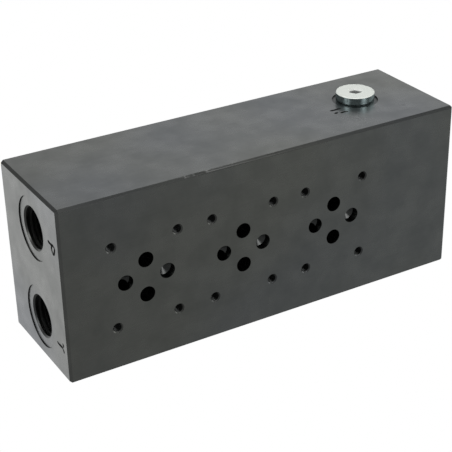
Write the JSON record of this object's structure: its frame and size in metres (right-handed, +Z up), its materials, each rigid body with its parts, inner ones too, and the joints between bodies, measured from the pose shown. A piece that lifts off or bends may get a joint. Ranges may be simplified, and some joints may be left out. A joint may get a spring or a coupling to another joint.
{
  "type": "hydraulic manifold block",
  "caption": "Rectangular steel manifold bar with side-by-side valve stations on its front face, threaded ports in both ends and the rear, and a plugged gauge port on top.",
  "frame": {"origin": "centre of the bar's underside", "axes": "+X along the bar, from the first valve station to the last; +Y from the valve face to the rear face; +Z up"},
  "size_m": [0.21, 0.061, 0.0903],
  "materials": {
    "ground_steel": "ground and oiled steel, satin",
    "zinc_plated_steel": "turned steel with bright zinc plating",
    "black_rubber": "matt nitrile rubber"
  },
  "bodies": {
    "root": {"manifold_block": "ground_steel", "gauge_port_plug": "zinc_plated_steel", "gauge_port_seal": "black_rubber"}
  },
  "joints": []
}
